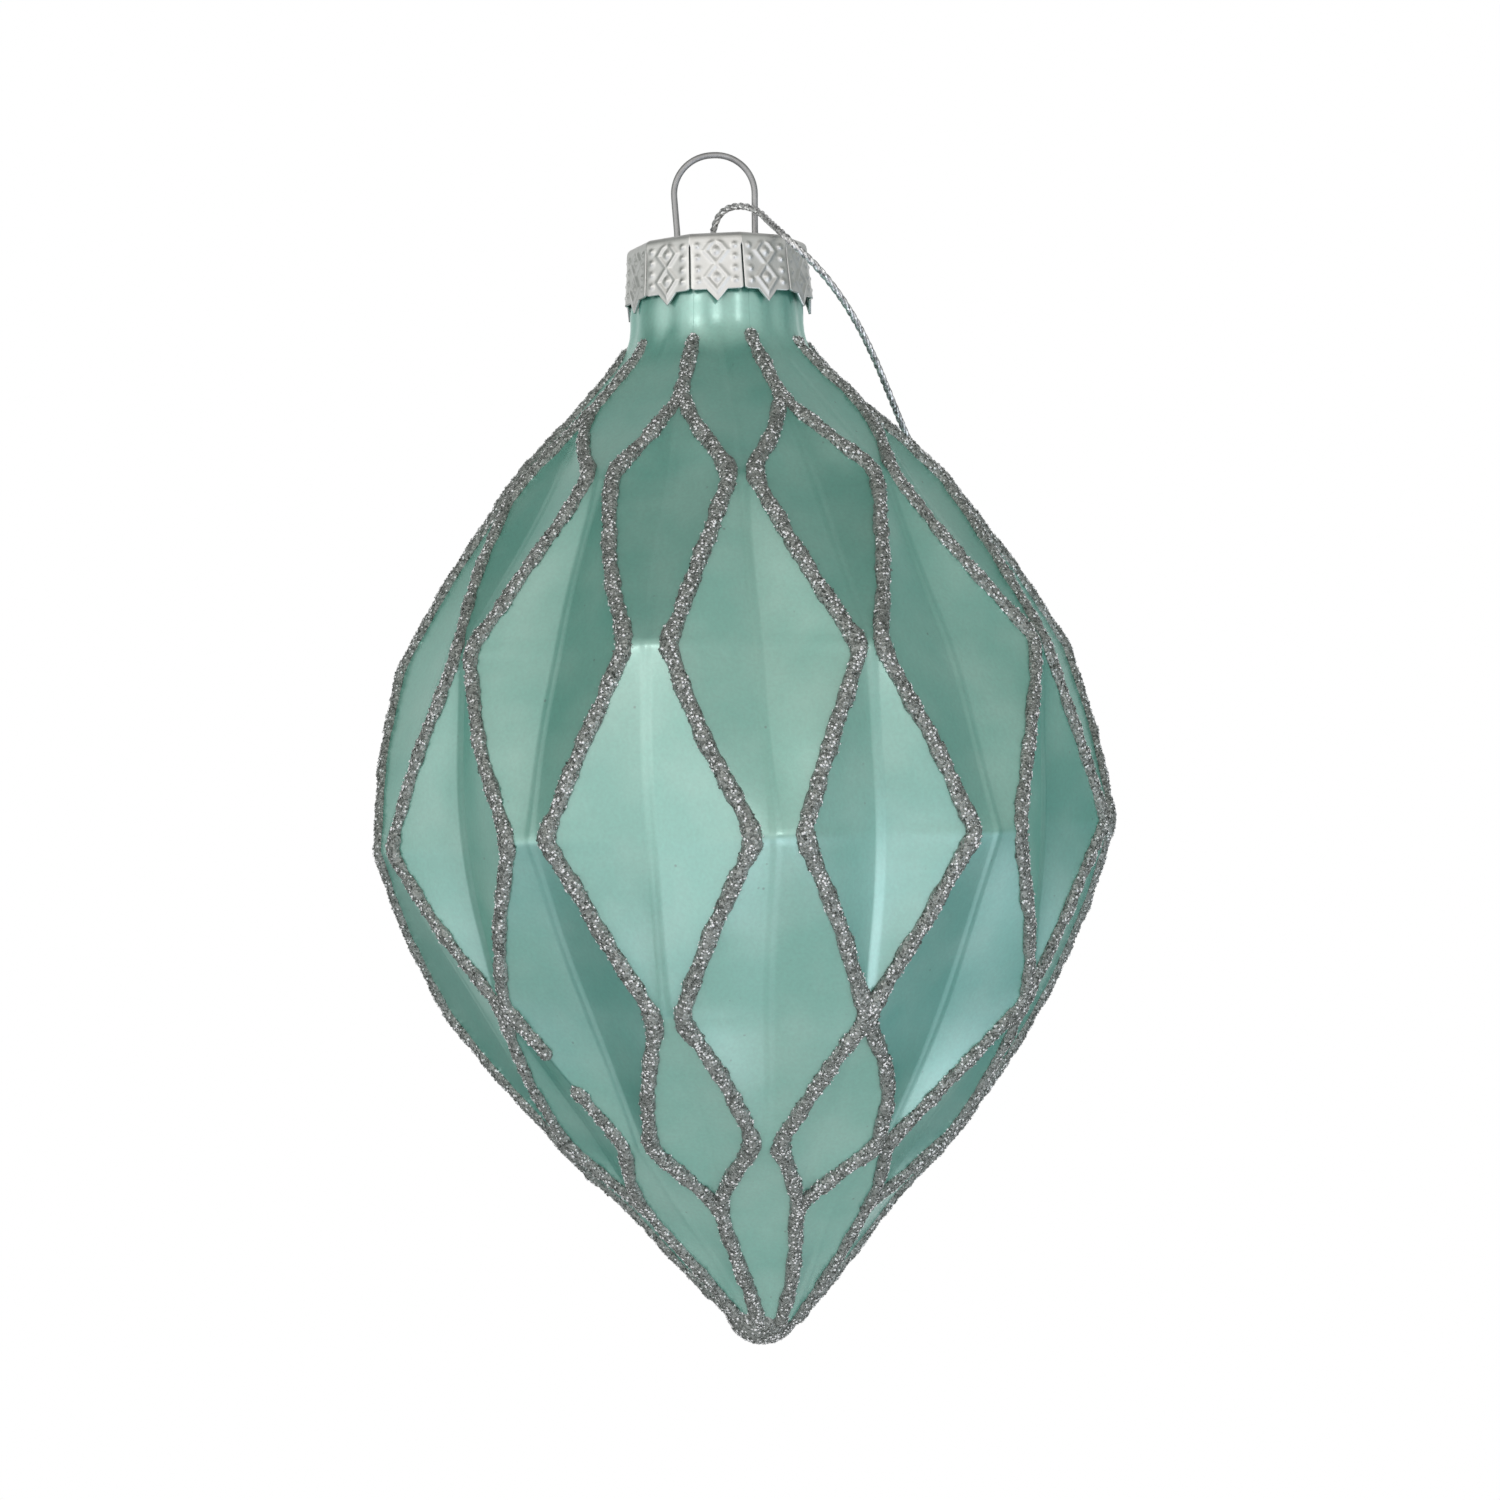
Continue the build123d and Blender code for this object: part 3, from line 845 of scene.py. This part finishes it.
def crown_cap():
    """The pressed cap: its panels round a flat top, with the sheet's thickness."""
    panel = cap_panel()
    rows, across = panel.shape[:2]
    parts, edge = [], []
    for number in range(PANELS):
        placed = turned(panel.reshape(-1, 3), CAP_TURN + number * 360 / PANELS).reshape(panel.shape)
        edge.append(placed[0, :-1])
        parts.append((placed.reshape(-1, 3), ring_faces(rows, across, closed=False)[:, ::-1]))
    top_points, top_triangles = cap_top(np.concatenate(edge))
    parts.append((top_points, np.array(top_triangles)))
    points, faces, _ = joined(parts)
    piece = new_mesh("crown_cap", points, faces, [CAP_METAL], "cap")
    weld = piece.modifiers.new("weld", "WELD")
    weld.merge_threshold = 0.000004
    sheet = piece.modifiers.new("sheet", "SOLIDIFY")
    sheet.thickness = SHEET * MM
    sheet.offset = -1
    sheet.use_even_offset = False
    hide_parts("cap")
    return piece


# ---------------------------------------------------------------- wire hanger

def wire_hanger():
    """The CAD wire, in its own metal."""
    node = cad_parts["wire_hanger"]
    for material_slot in node.material_slots:
        material_slot.material = WIRE_METAL


# ---------------------------------------------------------------- cord

# The same route as the CAD tube's, in metres: from the knot up behind the glass, through the hanger's loop from
# the back, over the cap's edge and round again.
CORD_ROUTE = [
    (0.0224, 0.0393, -0.0954),
    (0.0214, 0.0405, -0.0870),
    (0.0197, 0.0417, -0.0775),
    (0.0172, 0.0406, -0.0670),
    (0.0144, 0.0382, -0.0576),
    (0.0111, 0.0326, -0.0486),
    (0.0080, 0.0272, -0.0400),
    (0.0050, 0.0216, -0.0324),
    (0.0031, 0.0166, -0.0250),
    (0.0022, 0.0144, -0.0178),
    (0.0014, 0.0134, -0.0116),
    (0.0005, 0.0113, -0.0081),
    (-0.0004, 0.0076, -0.0082),
    (-0.0005, 0.0046, -0.0080),
    (0.0005, 0.0026, -0.0059),
    (0.0026, 0.0006, -0.0055),
    (0.0049, -0.0019, -0.0066),
    (0.0064, -0.0050, -0.0089),
    (0.0072, -0.0082, -0.0103),
    (0.0087, -0.0097, -0.0122),
    (0.0115, -0.0090, -0.0149),
    (0.0140, -0.0068, -0.0179),
    (0.0160, -0.0044, -0.0209),
    (0.0179, -0.0016, -0.0245),
    (0.0197, 0.0018, -0.0286),
    (0.0218, 0.0056, -0.0334),
    (0.0254, 0.0124, -0.0406),
    (0.0284, 0.0202, -0.0490),
    (0.0298, 0.0286, -0.0584),
    (0.0286, 0.0342, -0.0676),
    (0.0266, 0.0372, -0.0774),
    (0.0248, 0.0389, -0.0866),
    (0.0235, 0.0390, -0.0954),
]
STRANDS = 3
STRAND_RADIUS = 0.24
STRAND_TURN_RADIUS = 0.19
STRAND_PITCH = 3.4
STRAND_STEP = 0.09


def route_line():
    """Points along the smooth line of the cord, in millimetres."""
    curve = bpy.data.curves.new("cord_route", "CURVE")
    curve.dimensions = "3D"
    curve.resolution_u = 24
    spline = curve.splines.new("NURBS")
    spline.points.add(len(CORD_ROUTE) - 1)
    for point, place in zip(spline.points, CORD_ROUTE):
        point.co = (*place, 1)
    spline.order_u = 3
    spline.use_endpoint_u = True
    holder = bpy.data.objects.new("cord_route", curve)
    mesh = bpy.data.meshes.new_from_object(holder)
    line = np.array([tuple(vertex.co) for vertex in mesh.vertices]) / MM
    bpy.data.meshes.remove(mesh)
    bpy.data.objects.remove(holder)
    return line - [0, 0, WIDEST_Z]


def evenly(line, step):
    """Points evenly along a line, and how far along it each is."""
    along = lengths_along(line)
    places = np.linspace(0, along[-1], int(along[-1] / step) + 1)
    return points_at(places, along, line), places


def carried_frame(points):
    """A side and an up direction carried along a line without twisting."""
    tangent = unit(np.gradient(points, axis=0))
    side = np.zeros_like(points)
    side[0] = unit(np.cross(tangent[0], [0.3, 0.5, 0.8]))
    for i in range(1, len(points)):
        side[i] = unit(side[i - 1] - tangent[i] * (side[i - 1] @ tangent[i]))
    return tangent, side, np.cross(tangent, side)


def round_tube(points, radius, around=8):
    """A tube along points, as (points, quads)."""
    _, side, up = carried_frame(points)
    turn = np.arange(around) / around * 2 * pi
    radius = np.broadcast_to(radius, len(points))[:, None, None]
    out = side[:, None] * np.cos(turn)[:, None] + up[:, None] * np.sin(turn)[:, None]
    return (points[:, None] + out * radius).reshape(-1, 3), ring_faces(len(points), around)


def twisted(line, step=STRAND_STEP):
    """The strands of the cord, twisted round a line, as a list of tubes."""
    points, along = evenly(line, step)
    _, side, up = carried_frame(points)
    tubes = []
    for strand in range(STRANDS):
        turn = (along / STRAND_PITCH + strand / STRANDS) * 2 * pi
        off = side * np.cos(turn)[:, None] + up * np.sin(turn)[:, None]
        tubes.append(round_tube(points + off * STRAND_TURN_RADIUS, STRAND_RADIUS))
    return tubes


def thread_piece(name, tubes):
    """Strands of metal thread as one piece that rides with the wire."""
    points, faces, _ = joined(tubes)
    return new_mesh(name, points, faces, [THREAD], "hanger")


def overhand(centre):
    """The line of an overhand knot's turns about a centre, without its ends."""
    t = np.linspace(0, 2 * pi, 90)
    trefoil = np.stack([np.sin(t) + 2 * np.sin(2 * t), np.sin(3 * t) * 0.9, np.cos(t) - 2 * np.cos(2 * t)], -1)
    return trefoil * 0.42 + centre


def cord_pieces():
    """The twisted cord along its route, and the knot that ties it with its two tails."""
    line = route_line()
    cord = thread_piece("twisted_cord", twisted(line))
    low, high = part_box("cord_knot")
    centre = (np.array(low) + np.array(high)) / 2 / MM - [0, 0, WIDEST_Z]
    tubes = twisted(overhand(centre))
    for lean in (-0.35, 0.4):
        ways = np.linspace(0, 1, 12)[:, None]
        tail = centre + [lean, 0.3, -0.4] + ways * [lean * 4, 0.5, -4.6] + ways ** 2 * [lean, 0.3, 0]
        tubes += twisted(tail)
    knot = thread_piece("knot", tubes)
    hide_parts("cord")
    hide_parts("cord_knot")


# ---------------------------------------------------------------- studio

CAMERA_FROM_WIDEST = (0.00134, -0.36213, 0.00273)        # metres
CAMERA_TURN = (91.153, 2.499, 0.050)
LENS = 73.8
SPARKLE_PLACES = {"sparkle_left": (-0.30, -0.60, 0.35), "sparkle_right": (0.25, -0.60, 0.25)}
SPARKLE_SIZE = 0.08
SPARKLE_WATTS = 0.25
FLOOR_DROP = 0.45
FLOOR_RADIUS = 0.45


def camera():
    """The camera in front, a little rolled."""
    data = bpy.data.cameras.new("camera")
    data.lens = LENS
    data.sensor_width = 36
    data.clip_start = 0.01
    made = bpy.data.objects.new("camera", data)
    made.location = Vector(CAMERA_FROM_WIDEST) + Vector((0, 0, WIDEST_Z * MM))
    made.rotation_euler = Euler([radians(angle) for angle in CAMERA_TURN])
    bpy.context.scene.collection.objects.link(made)
    bpy.context.scene.camera = made


def sparkle_light(name, place):
    """A small panel that faces the middle of the glass, for the glints of the glitter."""
    data = bpy.data.lights.new(name, "AREA")
    data.shape = "RECTANGLE"
    data.size = data.size_y = SPARKLE_SIZE
    data.energy = SPARKLE_WATTS
    made = bpy.data.objects.new(name, data)
    target = Vector((0, 0, WIDEST_Z * MM))
    made.location = target + Vector(place)
    made.rotation_euler = (made.location - target).to_track_quat("Z", "Y").to_euler()
    bpy.context.scene.collection.objects.link(made)


# The soft room round the object: patches of light, each (azimuth from the front, elevation, red, green, blue).
LOBE_HALF_WIDTH = 40
LOBES = [
    (-120, 0, 0.22, 0.24, 0.23),
    (-90, 0, 0.08, 0.08, 0.07),
    (-60, 0, 0.84, 0.85, 0.84),
    (-35, 0, 0.17, 0.17, 0.17),
    (-10, 0, 0.86, 0.83, 0.83),
    (40, 0, 0.22, 0.22, 0.22),
    (65, 0, 0.34, 0.35, 0.34),
    (120, 0, 0.05, 0.07, 0.07),
    (-100, 36, 0.11, 0.13, 0.12),
    (-35, 36, 0.64, 0.63, 0.61),
    (0, 36, 0.13, 0.13, 0.11),
    (35, 36, 0.41, 0.41, 0.40),
    (65, 36, 0.16, 0.16, 0.15),
    (100, 36, 0.23, 0.25, 0.24),
    (-100, -36, 0.02, 0.02, 0.03),
    (-65, -36, 0.52, 0.54, 0.60),
    (35, -36, 1.26, 1.32, 1.45),
    (65, -36, 0.32, 0.36, 0.42),
    (100, -36, 0.15, 0.18, 0.21),
    (-60, 68, 0.14, 0.14, 0.14),
    (60, -68, 0.74, 0.80, 0.87),
    (0, -75, 0.79, 0.83, 0.91),
    (180, 0, 0.70, 0.70, 0.70),
    (180, 55, 0.50, 0.50, 0.50),
    (150, 10, 0.60, 0.60, 0.60),
    (-150, 10, 0.65, 0.65, 0.65),
    (180, -35, 0.50, 0.50, 0.52),
]


def surroundings():
    """White behind the object for the camera, and the soft room for light and reflections."""
    world = bpy.data.worlds.new("room")
    bpy.context.scene.world = world
    world.use_nodes = True
    nodes, links = world.node_tree.nodes, world.node_tree.links
    room = nodes["Background"]
    way = nodes.new("ShaderNodeTexCoord").outputs["Generated"]
    total = None
    for azimuth, elevation, *colour in LOBES:
        a, e = radians(azimuth), radians(elevation)
        towards = nodes.new("ShaderNodeVectorMath")
        towards.operation = "DOT_PRODUCT"
        links.new(way, towards.inputs[0])
        towards.inputs[1].default_value = (sin(a) * cos(e), -cos(a) * cos(e), sin(e))
        fade = nodes.new("ShaderNodeMapRange")
        fade.interpolation_type = "SMOOTHSTEP"
        fade.inputs["From Min"].default_value = cos(radians(LOBE_HALF_WIDTH))
        links.new(towards.outputs["Value"], fade.inputs["Value"])
        patch = nodes.new("ShaderNodeVectorMath")
        patch.operation = "MULTIPLY_ADD"
        patch.inputs[0].default_value = colour
        links.new(fade.outputs["Result"], patch.inputs[1])
        if total is not None:
            links.new(total, patch.inputs[2])
        total = patch.outputs["Vector"]
    links.new(total, room.inputs["Color"])
    white = nodes.new("ShaderNodeBackground")
    white.inputs["Color"].default_value = (1, 1, 1, 1)
    rays = nodes.new("ShaderNodeLightPath")
    mix = nodes.new("ShaderNodeMixShader")
    links.new(rays.outputs["Is Camera Ray"], mix.inputs["Fac"])
    links.new(room.outputs[0], mix.inputs[1])
    links.new(white.outputs[0], mix.inputs[2])
    links.new(mix.outputs[0], nodes["World Output"].inputs["Surface"])


def floor():
    """A pale disc well under the point."""
    corners = 96
    turns = [i / corners * 2 * pi for i in range(corners)]
    points = [(0, 0, 0)] + [(cos(turn) * FLOOR_RADIUS, sin(turn) * FLOOR_RADIUS, 0) for turn in turns]
    faces = [(0, i + 1, (i + 1) % corners + 1) for i in range(corners)]
    mesh = bpy.data.meshes.new("floor")
    mesh.from_pydata(points, [], faces)
    mesh.materials.append(floor_paper())
    made = bpy.data.objects.new("floor", mesh)
    made.location = (0, 0, cad_box[0][2] - FLOOR_DROP)
    bpy.context.scene.collection.objects.link(made)


# ---------------------------------------------------------------- the scene

camera()
cord_pieces()
glass_shell()
for column in range(1 - COLUMNS, COLUMNS, 2):
    glitter_line(column)
glitter_tip()
crown_cap()
wire_hanger()

for name, place in SPARKLE_PLACES.items():
    sparkle_light(name, place)
surroundings()
floor()
bpy.context.scene.view_settings.view_transform = "Standard"
